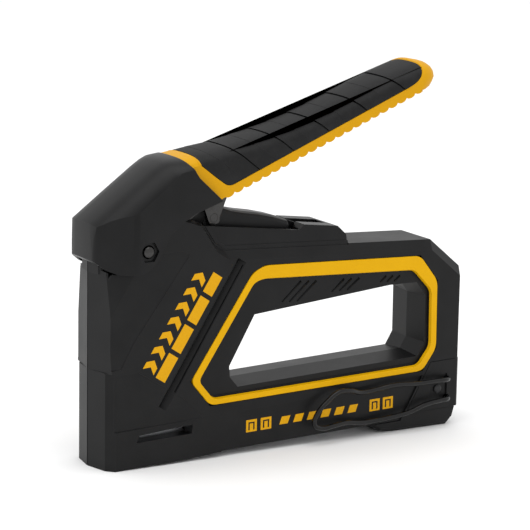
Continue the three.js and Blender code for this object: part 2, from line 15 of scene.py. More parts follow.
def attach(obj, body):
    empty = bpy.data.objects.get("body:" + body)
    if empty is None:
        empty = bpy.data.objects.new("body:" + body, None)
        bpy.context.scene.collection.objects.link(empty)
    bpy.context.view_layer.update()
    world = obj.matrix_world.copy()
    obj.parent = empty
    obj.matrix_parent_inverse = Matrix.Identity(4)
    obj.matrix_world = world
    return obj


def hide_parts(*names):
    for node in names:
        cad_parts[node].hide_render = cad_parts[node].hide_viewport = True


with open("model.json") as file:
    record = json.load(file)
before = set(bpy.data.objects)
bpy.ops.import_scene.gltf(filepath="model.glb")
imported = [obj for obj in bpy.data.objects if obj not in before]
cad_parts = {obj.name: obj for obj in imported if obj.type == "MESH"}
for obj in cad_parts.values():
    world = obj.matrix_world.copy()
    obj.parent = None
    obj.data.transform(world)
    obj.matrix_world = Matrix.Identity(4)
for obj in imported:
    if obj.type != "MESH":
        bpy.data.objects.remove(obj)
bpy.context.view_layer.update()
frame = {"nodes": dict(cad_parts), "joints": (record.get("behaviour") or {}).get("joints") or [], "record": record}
print("solids loaded:", len(frame["nodes"]))

# %% [markdown]
# The tool stands a little tilted, because its rear foot reaches lower than the nose. Shapes are
# easier to draw along the tool's own lines, so a point is given as millimetres along, across and
# up the tool. The joints hold those directions: the magazine slides along, the striker moves up.

# %% Place points along the tool
joints = {joint["name"]: joint for joint in frame["joints"]}
ALONG = Vector(joints["magazine_draw"]["axis"])
ACROSS = Vector((0, 1, 0))
UP = Vector(joints["striker_lift"]["axis"])
PIVOT = (16, 97.9)
MM = 0.001
ORIGIN = Vector(joints["handle_squeeze"]["pos_m"]) - (ALONG * PIVOT[0] + UP * PIVOT[1]) * MM
TOOL = Matrix((ALONG, ACROSS, UP)).transposed().to_4x4()
TOOL.translation = ORIGIN


def place(x, y, z):
    """The row position of a point given in millimetres along, across and up the tool."""
    return TOOL @ (Vector((x, y, z)) * MM)


print("tool origin:", [round(v, 4) for v in ORIGIN])

# %% [markdown]
# A long lens that stands far away keeps the sides of the tool nearly parallel.
# The camera looks at the left side of the nose, slightly from above, and is turned by one degree.

# %% Camera
SENSOR_MM = 36
LENS_MM = 183.396
STAND_MM = (-574.12, -999.86, 357.66)
TURN, PITCH, ROLL = (math.radians(a) for a in (33.5, 13.0, 1.0))
back = Vector((-math.sin(TURN) * math.cos(PITCH), -math.cos(TURN) * math.cos(PITCH), math.sin(PITCH)))
level = Vector((math.cos(TURN), -math.sin(TURN), 0))
rise = back.cross(level)
right = level * math.cos(ROLL) + rise * math.sin(ROLL)
upright = rise * math.cos(ROLL) - level * math.sin(ROLL)
camera_data = bpy.data.cameras.new("camera")
camera_data.sensor_width = SENSOR_MM
camera_data.lens = LENS_MM
camera_data.clip_start = 0.05
camera_data.clip_end = 20
camera = bpy.data.objects.new("camera", camera_data)
bpy.context.scene.collection.objects.link(camera)
stand = Matrix((right, upright, back)).transposed().to_4x4()
stand.translation = Vector(STAND_MM) * MM
camera.matrix_world = TOOL @ stand
bpy.context.scene.camera = camera
print("lens in millimetres:", round(camera_data.lens, 1))

# %% [markdown]
# Black plastic only shows its shape by what it reflects. The plain view transform keeps the yellow
# saturated and the pale floor white. One wide soft light stands at the nose end,
# where the front faces catch it, and a second hangs overhead for the roof and the upper edges.

# %% Floor and lights
floor_data = bpy.data.meshes.new("floor")
shape = bmesh.new()
bmesh.ops.create_grid(shape, x_segments=1, y_segments=1, size=6)
shape.to_mesh(floor_data)
shape.free()
floor = bpy.data.objects.new("floor", floor_data)
bpy.context.scene.collection.objects.link(floor)


def soft_light(name, spot, size, power):
    """A square area light that points at the middle of the tool."""
    data = bpy.data.lights.new(name, "AREA")
    data.size = size
    data.energy = power
    light = bpy.data.objects.new(name, data)
    light.location = spot
    aim = Vector((0, 0, 0.08)) - Vector(spot)
    light.rotation_mode = "QUATERNION"
    light.rotation_quaternion = aim.to_track_quat("-Z", "Y")
    bpy.context.scene.collection.objects.link(light)


soft_light("nose_light", (-1.5, 0.5, 0.7), 1.2, 4)
soft_light("top_light", (-0.1, -0.2, 1.7), 1.3, 10)
world = bpy.data.worlds.new("studio")
world.use_nodes = True
world.node_tree.nodes["Background"].inputs["Color"].default_value = (1, 1, 1, 1)
world.node_tree.nodes["Background"].inputs["Strength"].default_value = 1.0
bpy.context.scene.world = world
bpy.context.scene.view_settings.view_transform = "Standard"

# %% [markdown]
# Shader nodes are easier to read as sums. A small class wraps a value socket, so that plain
# arithmetic adds the maths nodes, and one method makes any other node.

# %% Shader sums
class Value:
    """A number in a shader that can be added, scaled and compared like a plain one."""

    def __init__(self, finish, socket):
        self.finish = finish
        self.socket = socket

    def maths(self, operation, first, second):
        node = self.finish.node("ShaderNodeMath", {"operation": operation}, {0: first, 1: second})
        return Value(self.finish, node.outputs[0])

    def __add__(self, other):
        return self.maths("ADD", self, other)

    def __radd__(self, other):
        return self.maths("ADD", other, self)

    def __sub__(self, other):
        return self.maths("SUBTRACT", self, other)

    def __rsub__(self, other):
        return self.maths("SUBTRACT", other, self)

    def __mul__(self, other):
        return self.maths("MULTIPLY", self, other)

    def __gt__(self, other):
        return self.maths("GREATER_THAN", self, other)

    def least(self, other):
        return self.maths("MINIMUM", self, other)

    def most(self, other):
        return self.maths("MAXIMUM", self, other)


class Finish:
    """A material under construction, with its principled shader."""

    def __init__(self, name, **constants):
        self.material = bpy.data.materials.new(name)
        self.material.use_nodes = True
        self.tree = self.material.node_tree
        self.shader = self.tree.nodes["Principled BSDF"]
        for socket, value in constants.items():
            self.shader.inputs[socket.replace("_", " ")].default_value = value
        self.place = self.node("ShaderNodeTexCoord", {}, {}).outputs["Object"]

    def node(self, kind, settings, sockets):
        node = self.tree.nodes.new(kind)
        for key, value in settings.items():
            setattr(node, key, value)
        for key, value in sockets.items():
            source = value.socket if isinstance(value, Value) else value
            if isinstance(source, bpy.types.NodeSocket):
                self.tree.links.new(source, node.inputs[key])
            else:
                node.inputs[key].default_value = source
        return node

    def noise(self, size_mm, detail=3, roughness=0.55, stretch=(1, 1, 1)):
        """Soft random values with features of about the given size."""
        vector = self.place
        if stretch != (1, 1, 1):
            vector = self.node("ShaderNodeMapping", {}, {"Vector": vector, "Scale": stretch}).outputs[0]
        node = self.node("ShaderNodeTexNoise", {}, {
            "Vector": vector, "Scale": 1 / (size_mm * MM), "Detail": detail, "Roughness": roughness,
        })
        return Value(self, node.outputs["Fac"])

    def edge_wear_and_sheen(self, radius_mm):
        """About 1 on outer and inner edges, 0 on flat stretches; it marks edge wear and a painted edge highlight.
        """
        rounded = self.node("ShaderNodeBevel", {"samples": 4}, {"Radius": radius_mm * MM})
        plain = self.node("ShaderNodeNewGeometry", {}, {})
        dot = self.node("ShaderNodeVectorMath", {"operation": "DOT_PRODUCT"}, {
            0: rounded.outputs[0], 1: plain.outputs["Normal"],
        })
        return ((1 - Value(self, dot.outputs["Value"])) * 6).least(1)

    def blend(self, factor, first, second):
        node = self.node("ShaderNodeMix", {"data_type": "RGBA"}, {0: factor, 6: first, 7: second})
        return node.outputs[2]

    def colour(self, socket):
        self.tree.links.new(socket, self.shader.inputs["Base Color"])

    def rough(self, value):
        self.tree.links.new(value.socket, self.shader.inputs["Roughness"])

    def relief(self, height, depth_mm):
        bump = self.node("ShaderNodeBump", {}, {"Height": height, "Distance": depth_mm * MM})
        bump.inputs["Strength"].default_value = 1
        self.tree.links.new(bump.outputs[0], self.shader.inputs["Normal"])


print("shader helpers ready")

# %% [markdown]
# The housing is moulded with a fine spark-eroded grain that scatters highlights. Handling polishes
# the edges a little, so they are less rough there, and the edges are also painted lighter as a highlight.
# Faint cloudy patches keep a large black face from looking flat.

# %% Moulded plastic
def moulded(name, dark, light, roughness, grain_mm=0.35, depth_mm=0.012, specular=0.2):
    finish = Finish(name, Specular_IOR_Level=specular)
    grain = finish.noise(grain_mm, 4, 0.6)
    cloud = finish.noise(14, 3, 0.5)
    speck = (finish.noise(0.9, 2, 0.5) > 0.66) * 0.16
    # Painted highlight: the edge mask lightens the colour along every edge; it also lowers the roughness there as
    # polish.
    edges = finish.edge_wear_and_sheen(0.45)
    patch = (cloud - 0.35).most(0) * 0.9 + edges * 0.55 + speck
    finish.colour(finish.blend(patch.least(1), (*dark, 1), (*light, 1)))
    finish.rough(roughness + (cloud - 0.5) * 0.12 - edges * 0.1 + (grain - 0.5) * 0.08)
    finish.relief(grain, depth_mm)
    return finish.material


housing_black = moulded("black_housing_plastic", (0.0035, 0.0035, 0.0037), (0.013, 0.013, 0.0135), 0.44)
cover_black = moulded("black_cover_plastic", (0.003, 0.003, 0.0032), (0.011, 0.011, 0.0115), 0.38)
frame_yellow = moulded("yellow_frame_plastic", (0.69, 0.365, 0.0), (0.77, 0.425, 0.001), 0.42,
                       grain_mm=0.5, depth_mm=0.008, specular=0.1)
handle_yellow = moulded("yellow_handle_plastic", (0.61, 0.30, 0.0), (0.70, 0.37, 0.002), 0.45,
                        grain_mm=0.5, depth_mm=0.010, specular=0.12)
print("plastics:", housing_black.name, cover_black.name, frame_yellow.name, handle_yellow.name)

# %% [markdown]
# The grip is a softer rubber: more matt, with a coarser skin and dust caught in its pores. Its edges
# are painted lighter as a highlight.

# %% Rubber
def rubbery(name, dark, light):
    finish = Finish(name, Specular_IOR_Level=0.2)
    skin = finish.noise(0.55, 4, 0.65)
    cloud = finish.noise(9, 3, 0.5)
    # Painted highlight: the edge mask lightens the colour along every edge.
    edges = finish.edge_wear_and_sheen(0.5)
    dust = (finish.noise(1.6, 3, 0.7) - 0.55).most(0) * 1.2
    patch = dust + edges * 0.6 + (cloud - 0.4).most(0)
    finish.colour(finish.blend(patch.least(1), (*dark, 1), (*light, 1)))
    finish.rough(0.62 + (cloud - 0.5) * 0.14)
    finish.relief(skin, 0.03)
    return finish.material


grip_rubber = rubbery("ribbed_grip_rubber", (0.007, 0.007, 0.0073), (0.026, 0.026, 0.027))
bumper_rubber = rubbery("black_bumper_rubber", (0.005, 0.005, 0.005), (0.015, 0.015, 0.015))
print("rubbers:", grip_rubber.name, bumper_rubber.name)

# %% [markdown]
# Steel parts come polished, zinc plated, oiled or blackened. Fine drawn streaks along the tool and
# a little staining tell them apart from painted plastic. The belt hook is wire under black lacquer.

# %% Metals
def metal(name, colour, stain, roughness, streak=(1, 1, 1), metallic=1.0, specular=0.5):
    finish = Finish(name, Metallic=metallic, Specular_IOR_Level=specular)
    lines = finish.noise(0.8, 4, 0.6, streak)
    cloud = finish.noise(6, 4, 0.6)
    finish.colour(finish.blend(((cloud - 0.45).most(0) * 1.6).least(1), (*colour, 1), (*stain, 1)))
    finish.rough(roughness + (lines - 0.5) * 0.22 + (cloud - 0.5) * 0.12)
    finish.relief(lines, 0.004)
    return finish.material


polished_steel = metal("polished_steel", (0.62, 0.62, 0.63), (0.42, 0.42, 0.43), 0.22)
zinc_steel = metal("zinc_plated_steel", (0.46, 0.47, 0.49), (0.3, 0.3, 0.31), 0.38, (0.1, 1, 1))
spring_steel = metal("oiled_spring_steel", (0.2, 0.2, 0.21), (0.1, 0.09, 0.08), 0.34)
black_steel = metal("blackened_steel", (0.016, 0.016, 0.017), (0.03, 0.028, 0.027), 0.42, metallic=0.5)
oiled_steel = metal("dark_oiled_steel", (0.055, 0.054, 0.053), (0.03, 0.028, 0.026), 0.3)
hook_black = metal("hook_black", (0.004, 0.004, 0.0042), (0.009, 0.009, 0.0088), 0.16,
                   metallic=0.0, specular=0.3)
print("metals:", [m.name for m in (polished_steel, zinc_steel, spring_steel, black_steel, oiled_steel,
                                   hook_black)])

# %% [markdown]
# The floor is pale card with almost no gloss.

# %% Floor finish
card = Finish("card", Roughness=0.9)
card.colour(card.blend(card.noise(40, 2), (0.93, 0.93, 0.93, 1), (0.96, 0.96, 0.96, 1)))
floor_data.materials.append(card.material)
print("floor finish:", card.material.name)

# %% [markdown]
# Pieces share a few steps: a mesh becomes an object that rides on its body, names its material slot
# and stands for its solid. A narrow rounding on every edge catches the light as moulded edges do.

# %% Helpers for pieces
BODY_OF = {
    node: body for body, members in frame["record"]["behaviour"]["bodies"].items() for node in members
}


def add_piece(name, shape, material, stands_for, body=None):
    """Turns a bmesh into a finished object. stands_for lists the solids that it replaces."""
    data = bpy.data.meshes.new(name)
    shape.to_mesh(data)
    shape.free()
    data.materials.append(material)
    piece = bpy.data.objects.new(name, data)
    bpy.context.scene.collection.objects.link(piece)
    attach(piece, body or BODY_OF[stands_for[0]])
    if stands_for:
        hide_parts(*stands_for)
    return piece


FLAT_DEGREES = 1


def round_edges(piece, width_mm, degrees=28, segments=2, flat=False):
    """Rounds every edge sharper than the given angle; a flat-sided piece keeps its faces even."""
    bevel = piece.modifiers.new("rounding", "BEVEL")
    bevel.width = width_mm * MM
    bevel.segments = segments
    bevel.limit_method = "ANGLE"
    bevel.angle_limit = math.radians(degrees)
    bevel.use_clamp_overlap = True
    bevel.harden_normals = True
    piece.data.shade_smooth()
    if flat:
        piece.data.set_sharp_from_angle(angle=math.radians(FLAT_DEGREES))
    return piece


def solid_copy(node):
    """The solid's mesh with shared corners and whole flat faces."""
    shape = bmesh.new()
    shape.from_mesh(frame["nodes"][node].data)
    bmesh.ops.remove_doubles(shape, verts=shape.verts, dist=0.004 * MM)
    bmesh.ops.dissolve_limit(
        shape, angle_limit=math.radians(1.5), verts=shape.verts, edges=shape.edges,
        use_dissolve_boundaries=False,
    )
    return shape


def dress(name, node, material, width_mm):
    """A rounded copy of a solid that stands for it."""
    return round_edges(add_piece(name, solid_copy(node), material, [node]), width_mm, flat=True)


print("bodies:", sorted(set(BODY_OF.values())))

# %% [markdown]
# Many shapes here are drawn as a side outline and given width: a row of such outlines, one for each
# place across the tool, is bridged into a closed body. Rings need the same number of corners.

# %% Bodies from outlines
BEYOND = 30  # millimetres across, past every side face, for cutters that go right through


def ring_of(shape, points):
    """A closed ring of edges through points given in tool millimetres."""
    corners = [shape.verts.new(place(*point)) for point in points]
    return [shape.edges.new(pair) for pair in zip(corners, corners[1:] + corners[:1])]


def loft(rings):
    """A body through rings of points; its two ends are closed by one face each."""
    shape = bmesh.new()
    made = [ring_of(shape, points) for points in rings]
    for first, second in zip(made, made[1:]):
        bmesh.ops.bridge_loops(shape, edges=first + second)
    for end in (made[0], made[-1]):
        bmesh.ops.contextual_create(shape, geom=end)
    bmesh.ops.recalc_face_normals(shape, faces=shape.faces)
    return shape


def slab(points, y0, y1):
    """A plate across the tool with a side outline of [along, up] points."""
    return loft([[(x, y, z) for x, z in points] for y in (y0, y1)])


def both_sides(half):
    """The (across, value) steps from the middle of the tool outwards, with the other side put first."""
    return [(-y, value) for y, value in reversed(half) if y > 0] + half


def joined(shapes):
    """One bmesh that holds several."""
    whole = bmesh.new()
    for shape in shapes:
        data = bpy.data.meshes.new("part")
        shape.to_mesh(data)
        shape.free()
        whole.from_mesh(data)
        bpy.data.meshes.remove(data)
    return whole


def on_line(start, end, share):
    """The point at a share of the way from start to end."""
    return tuple(a + (b - a) * share for a, b in zip(start, end))


def along_route(route, x):
    """Height of a rising polyline of [along, up] points at a place along the tool."""
    for (x0, z0), (x1, z1) in zip(route, route[1:]):
        if x <= x1:
            return z0 + (z1 - z0) * (x - x0) / (x1 - x0)
    return route[-1][1] + (x - x1) * (z1 - z0) / (x1 - x0)


def rounded(points, radius, steps=5, skip=()):
    """A closed outline with its corners turned into arcs."""
    made = []
    for i, corner in enumerate(points):
        here = Vector(corner)
        before = Vector(points[i - 1]) - here
        after = Vector(points[(i + 1) % len(points)]) - here
        reach = min(radius, before.length * 0.45, after.length * 0.45)
        if i in skip or reach < 0.05:
            made.append(tuple(corner))
            continue
        start = here + before.normalized() * reach
        end = here + after.normalized() * reach
        for k in range(steps + 1):
            t = k / steps
            made.append(tuple(start * (1 - t) ** 2 + here * 2 * t * (1 - t) + end * t ** 2))
    return made


print("outline helpers ready")

# %% [markdown]
# Pockets, slots and hollows are cut with a boolean, the way a mould leaves them. The result goes
# straight back into a bmesh, so a piece can be cut several times and carries no live boolean.

# %% Carving
def carve(shape, tool, operation="DIFFERENCE"):
    """The shape with the tool taken away, or only where both are."""
    helpers = []
    for name, source in (("carved", shape), ("carving_tool", tool)):
        data = bpy.data.meshes.new(name)
        source.to_mesh(data)
        source.free()
        helper = bpy.data.objects.new(name, data)
        bpy.context.scene.collection.objects.link(helper)
        helpers.append(helper)
    boolean = helpers[0].modifiers.new("carve", "BOOLEAN")
    boolean.operation = operation
    boolean.object = helpers[1]
    boolean.solver = "EXACT"
    result = bmesh.new()
    result.from_object(helpers[0], bpy.context.evaluated_depsgraph_get())
    for helper in helpers:
        data = helper.data
        bpy.data.objects.remove(helper)
        bpy.data.meshes.remove(data)
    bmesh.ops.remove_doubles(result, verts=result.verts, dist=0.003 * MM)
    return result


def pull_in(points, amounts):
    """A closed outline with each corner moved inwards by its own amount."""
    count = len(points)
    area = sum(points[i][0] * points[(i + 1) % count][1] - points[(i + 1) % count][0] * points[i][1]
               for i in range(count))
    turn = 1 if area > 0 else -1
    made = []
    for i, corner in enumerate(points):
        here = Vector(corner)
        a = (here - Vector(points[i - 1])).normalized()
        b = (Vector(points[(i + 1) % count]) - here).normalized()
        normal = Vector((-(a.y + b.y), a.x + b.x)).normalized() * turn
        spread = max(0.4, normal.dot(Vector((-a.y, a.x)) * turn))
        amount = amounts[i] if isinstance(amounts, list) else amounts
        made.append(tuple(here + normal * (amount / spread)))
    return made


print("carving ready")

# %% [markdown]
# The grip is rubber in overlapping sleeves. Each sleeve starts a little proud behind a deep slanted
# groove, falls away, and steps up slightly half way. Its cross-sections lie in slanted planes, so
# they are lofted along the handle: flat on top, rounded over the shoulders, straight down to the
# yellow frame. A side outline then trims both ends.

# %% Grip
GRIP_CROWN = [(38, 136.6), (52, 138.4), (64, 139.9), (76, 142.2), (88, 144.7), (100, 148.0),
              (112, 151.8), (124, 156.2), (136, 160.8), (148, 164.9), (160, 168.4), (166, 169.8)]
GRIP_FOOT = [(58.4, 122.8), (155.8, 159.9)]
GROOVE_TOPS = [60.6, 82.4, 103.6, 124.8, 146.2]
SLEEVE_ENDS = [38.0] + GROOVE_TOPS + [169.0]
SLEEVES_FROM, SLEEVES_TO = 49, 153.5
GROOVE_SLANT = Vector((12.6, -9.8)).normalized()
SHOULDER = [(0, 0), (4.5, 0.15), (7, 0.45), (9, 0.95), (10.6, 1.6), (12, 2.5), (13.2, 3.6), (14, 4.9),
            (14.4, 6.2)]
HANDLE_HALF = 14.5


def foot_reach(x, z):
    """How far down the slant the lower border of the grip lies from a crown point."""
    (x0, z0), (x1, z1) = GRIP_FOOT
    run, climb = x1 - x0, z1 - z0
    across = GROOVE_SLANT.x * climb - GROOVE_SLANT.y * run
    return ((z - z0) * run - (x - x0) * climb) / across


def sleeve_lift(x):
    """How proud the rubber stands at a place on the crown, in millimetres."""
    for start, end in zip(SLEEVE_ENDS, SLEEVE_ENDS[1:]):
        if start <= x < end:
            share = (x - start) / (end - start)
            return 0.4 - 0.6 * share if share < 0.5 else 0.3 - 0.5 * (share - 0.5)
    return 0


def grip_section(x, lift):
    """The closed section of the grip that starts at a place on its crown."""
    z = along_route(GRIP_CROWN, x)
    reach = foot_reach(x, z)
    shrink = min(1, reach / 9)
    half = [(y + lift * y / HANDLE_HALF, t * shrink - lift * (1 - t / 8)) for y, t in SHOULDER]
    outer = [(HANDLE_HALF + lift, 7.6 * shrink), (HANDLE_HALF + lift, reach)]
    inner = [(11.9, reach), (11.9, 8 * shrink), (9.6, 4.2 * shrink), (0, 3.6 * shrink)]
    side = half + outer + inner
    full = side + [(-y, t) for y, t in side[-2:0:-1]]
    return [(x + GROOVE_SLANT.x * t, y, z + GROOVE_SLANT.y * t) for y, t in full]


def grip_stations():
    """Places on the crown, from front to rear, with how proud the rubber stands at each."""
    stations = [(36, 0.1), (43.2, 0.1), (45.5, 0.2), (48.4, 0.2)]
    for start, end in zip(SLEEVE_ENDS, SLEEVE_ENDS[1:]):
        middle = start + (end - start) * 0.5
        for x in (start + 0.45, start + 0.8, start + 3, middle - 2, middle - 0.2, middle + 0.1,
                  middle + 3, end - 2, end - 0.5):
            if SLEEVES_FROM < x < SLEEVES_TO:
                stations.append((x, sleeve_lift(x)))
        if SLEEVES_FROM < end < SLEEVES_TO:
            stations += [(end - 0.2, -0.8), (end + 0.2, -0.8)]
    return stations + [(154.5, 0.1), (158, 0), (164, 0), (169.5, 0)]


grip = loft([grip_section(x, lift) for x, lift in grip_stations()])
GRIP_SIDE = rounded([(43, 160), (43, 137), (44.1, 133.4), (51.2, 127.9), (58.4, 122.7), (155.8, 159.8),
                     (161.4, 162.6), (166.4, 173), (100, 190)], 3.0, skip=(0, 1, 2, 3, 8))
grip = carve(grip, slab(GRIP_SIDE, -BEYOND, BEYOND), "INTERSECT")
round_edges(add_piece("grip_sleeves", grip, grip_rubber, ["handle_grip"]), 0.18, 35)
print("grip sections:", len(grip_stations()))

# %% [markdown]
# The yellow frame of the handle wraps the grip: a slanted band in front, a rounded tip behind and a
# scalloped bar below that the fingers hook under. Its outline is lofted across the handle with the
# top closing in towards the sides, and the band is joined on. Then the room for the grip and the
# hollow underside are cut.

# %% Handle frame
SCALLOPS = 22
SCALLOP_STEPS = 6
SCALLOP_DEPTH = 1.15
BAR_START, BAR_END = (56.5, 117.9), (164.3, 158.3)
TIP = [(166.5, 157.4), (169.6, 158.0), (172, 159.1), (173.8, 161.0), (174.8, 163.6), (174.3, 166.0),
       (172.7, 168.1), (170, 169.7), (167, 170.3), (163, 169.5)]
HANDLE_TOP = [(154, 166.8), (142, 162.8), (130, 158.4), (118, 153.8), (106, 149.6), (94, 146.1),
              (82, 143.3), (70, 140.8), (58, 138.9), (50, 138.0), (42.6, 137.1)]
CROWN_STEPS = [(0, 0), (4.5, 0.025), (7, 0.07), (9, 0.145), (10.6, 0.25), (12, 0.38), (13.2, 0.57),
               (14, 0.78), (14.5, 1)]


def scalloped_bar():
    """The underside from front to rear, as a row of shallow round teeth."""
    points = []
    slope = (Vector(BAR_END) - Vector(BAR_START)).normalized()
    down = Vector((slope.y, -slope.x))
    for tooth in range(SCALLOPS):
        for k in range(SCALLOP_STEPS):
            share = (tooth + k / SCALLOP_STEPS) / SCALLOPS
            bulge = SCALLOP_DEPTH * math.sin(math.pi * k / SCALLOP_STEPS) ** 0.6
            spot = Vector(on_line(BAR_START, BAR_END, share)) + down * (bulge - 0.25)
            points.append(tuple(spot))
    return points


def handle_outline():
    """The outline, and how far each corner moves inwards at the side faces, as [along, up]."""
    points = [(54.3, 117.1)] + scalloped_bar() + TIP + HANDLE_TOP + [(43.5, 133.4), (50.8, 127.6)]
    moves = [(0, 0)] * (1 + SCALLOPS * SCALLOP_STEPS)
    for x, z in TIP:
        share = min(1, (x - 160) / 14)
        moves.append((-9.5 * share, -5.0 * max(0, (z - 161) / 9)))
    moves += [(1.2, -5.2)] * (len(HANDLE_TOP) - 2) + [(0.8, -3.4), (0.1, -3.2), (0, 0), (0, 0)]
    return points, moves


outline, moves = handle_outline()
body = loft([[(x + dx * share, y, z + dz * share) for (x, z), (dx, dz) in zip(outline, moves)]
             for y, share in both_sides(CROWN_STEPS)])
BAND = [(54, 117.2), (58, 118.6), (58.2, 122.2), (50.8, 127.6), (43.5, 133.4), (42.6, 137.1),
        (36.6, 136.3), (41.4, 128.8)]
BAND_MOVES = [(0, 0)] * 5 + [(0.1, -0.6), (0.38, -0.6), (0, 0)]


def band_section(y, slide):
    """The band's outline with its top lowered, as the grip's crown rounds over."""
    return [(x + dx * slide, y, z + dz * slide) for (x, z), (dx, dz) in zip(BAND, BAND_MOVES)]


band_steps = [(y, fall * 0.9) for y, fall in SHOULDER] + [(14.6, 5.8)]
band = loft([band_section(y, slide) for y, slide in both_sides(band_steps)])
body = carve(body, band, "UNION")
room = pull_in(GRIP_SIDE, -0.28)
for y0, y1 in ((-BEYOND, -11.7), (11.7, BEYOND)):
    body = carve(body, slab(room, y0, y1))
lowered = [(x, z - 4.4) for x, z in GRIP_CROWN]
lowered[0] = (34, lowered[0][1] - 0.5)
core_top = [(x, z) for x, z in lowered if x < 158]
core_top += [(160, 164.8), (167.4, 166.6), (168, 190), (30, 190)]
body = carve(body, carve(slab(room, -13, 13), slab(core_top, -14, 14), "INTERSECT"))
body = carve(body, slab([(40, 100), (130, 142), (124, 151), (53, 126.5), (44, 126)], -12.3, 12.3))
body = carve(body, slab([(30, 100), (158, 150), (150, 157.6), (122, 149.6), (103, 143), (82.5, 137.4),
                         (71, 135), (52, 131.9), (36, 131.9)], -9.5, 9.5))
frame_piece = add_piece("handle_frame_shape", body, handle_yellow, ["handle_frame"])
round_edges(frame_piece, 0.3, 35)
print("handle frame corners:", len(frame_piece.data.vertices))

# %% [markdown]
# The hood is the black front of the handle: flat in front, with long chamfers to the sides and a
# roof that rounds over. Side outlines carry the roof, a plan carries the chamfers, and the body is
# what the two share.

# %% Hood
HOOD = [(-8, 95), (-2.7, 90.8), (2, 88.8), (7, 88.3), (12.6, 88.4), (17, 90.3), (20.4, 93.8),
        (27.1, 105), (33.6, 109.6), (39.8, 112.8), (54, 117.2), (47, 129), (42, 137), (31, 135.9),
        (27.5, 134.7), (22.5, 132.0), (7, 121.5), (-8, 111)]
HOOD_CROWN = [0] * 11 + [0.0, 4.0, 4.5, 5.5, 6.5, 7.0, 7.0]
HOOD_STEPS = [(0, 0), (6, 0.02), (9, 0.08), (11.2, 0.18), (13, 0.32), (14.6, 0.5), (16, 0.7), (17, 0.88),
              (17.5, 1)]


def plan_slab(points, z0, z1):
    """A plate that stands up from z0 to z1 with a plan of [along, across] points."""
    return loft([[(x, y, z) for x, y in points] for z in (z0, z1)])


def mirrored_steps(outline, crown, steps):
    """A body across the tool whose outline is pulled in by a share of crown at every step."""
    half = [(y, pull_in(outline, [a * factor for a in crown])) for y, factor in steps]
    return loft([[(x, y, z) for x, z in points] for y, points in both_sides(half)])


hood = mirrored_steps(HOOD, HOOD_CROWN, HOOD_STEPS)
FRONT_PLAN = rounded([(-8, -10.6), (-8, 10.6), (9.6, 17.5), (80, 17.5), (80, -17.5), (9.6, -17.5)],
                     2.6, skip=(3, 4))
hood = carve(hood, plan_slab(FRONT_PLAN, 70, 160), "INTERSECT")
inner_roof = [(-12, 84), (20, 84), (50, 110), (70, 114), (70, 133.2), (33, 133.4), (28, 132.0),
              (23.5, 129.6), (8.2, 119), (-12, 104.6)]
hollow = mirrored_steps(inner_roof, [0] * 5 + [5] * 5, [(0, 0), (9, 0), (13, 0.4), (15.4, 1)])
inner_plan = [(-6.2, -8.6), (-6.2, 8.6), (11.2, 15.4), (75, 15.4), (75, -15.4), (11.2, -15.4)]
hood = carve(hood, carve(hollow, plan_slab(inner_plan, 70, 150), "INTERSECT"))
hood = carve(hood, slab(pull_in(BAND, -0.3), -20, 20))


def disc(centre, radius, y0, y1, corners):
    """A round or many-sided plug across the tool."""
    return loft([[(centre[0] + radius * math.cos(2 * math.pi * k / corners), y,
                   centre[1] + radius * math.sin(2 * math.pi * k / corners)) for k in range(corners)]
                 for y in (y0, y1)])


for y0, y1 in ((-19, -16.3), (16.3, 19)):
    hood = carve(hood, disc(PIVOT, 4.9, y0, y1, 6))
hood = carve(hood, disc(PIVOT, 3.1, -20, 20, 32))
hood_piece = add_piece("handle_hood_shape", hood, cover_black, ["handle_hood"])
round_edges(hood_piece, 0.35, 30)
print("hood corners:", len(hood_piece.data.vertices))

# %% [markdown]
# The pivot pin ends in a polished dome inside a six-sided recess. A half profile is spun once round
# the pin's axis, with the spin merging its last step into the first.

# %% Pivot pin
def turned(centre, profile, steps=32):
    """A body of revolution across the tool; its [radius, across] profile starts and ends on the axis."""
    shape = bmesh.new()
    corners = [shape.verts.new(place(centre[0] + radius, y, centre[1])) for radius, y in profile]
    edges = [shape.edges.new(pair) for pair in zip(corners, corners[1:])]
    bmesh.ops.spin(shape, geom=corners + edges, cent=place(centre[0], 0, centre[1]), axis=ACROSS,
                   angle=2 * math.pi, steps=steps, use_merge=True)
    bmesh.ops.remove_doubles(shape, verts=shape.verts, dist=0.002 * MM)
    bmesh.ops.recalc_face_normals(shape, faces=shape.faces)
    return shape


def dome(radius, flat, tip, steps=7):
    """Profile points from the rim of a dome at across = flat to its tip."""
    turns = [k * math.pi / 2 / steps for k in range(steps)]
    return [(radius * math.cos(a), flat + (tip - flat) * math.sin(a)) for a in turns] + [(0, tip)]


pin_half = dome(2.8, 16.4, 18.1)
pin_profile = [(r, -y) for r, y in reversed(pin_half)] + pin_half
pin = add_piece("pivot_pin_shape", turned(PIVOT, pin_profile), oiled_steel, ["pivot_pin"])
round_edges(pin, 0.1, 40)
print("pin faces:", len(pin.data.polygons))

# %% [markdown]
# The two half shells carry most of the detail: edge chamfers, the sunk panel round the finger
# opening, the label recess and the slot by the nose. Their solids already hold the big forms. Here
# the top of the nose is raised under the hood, with room left for the striker, a seam is cut down its
# front, and the finer relief is carved. Every edge gets its small moulded radius.

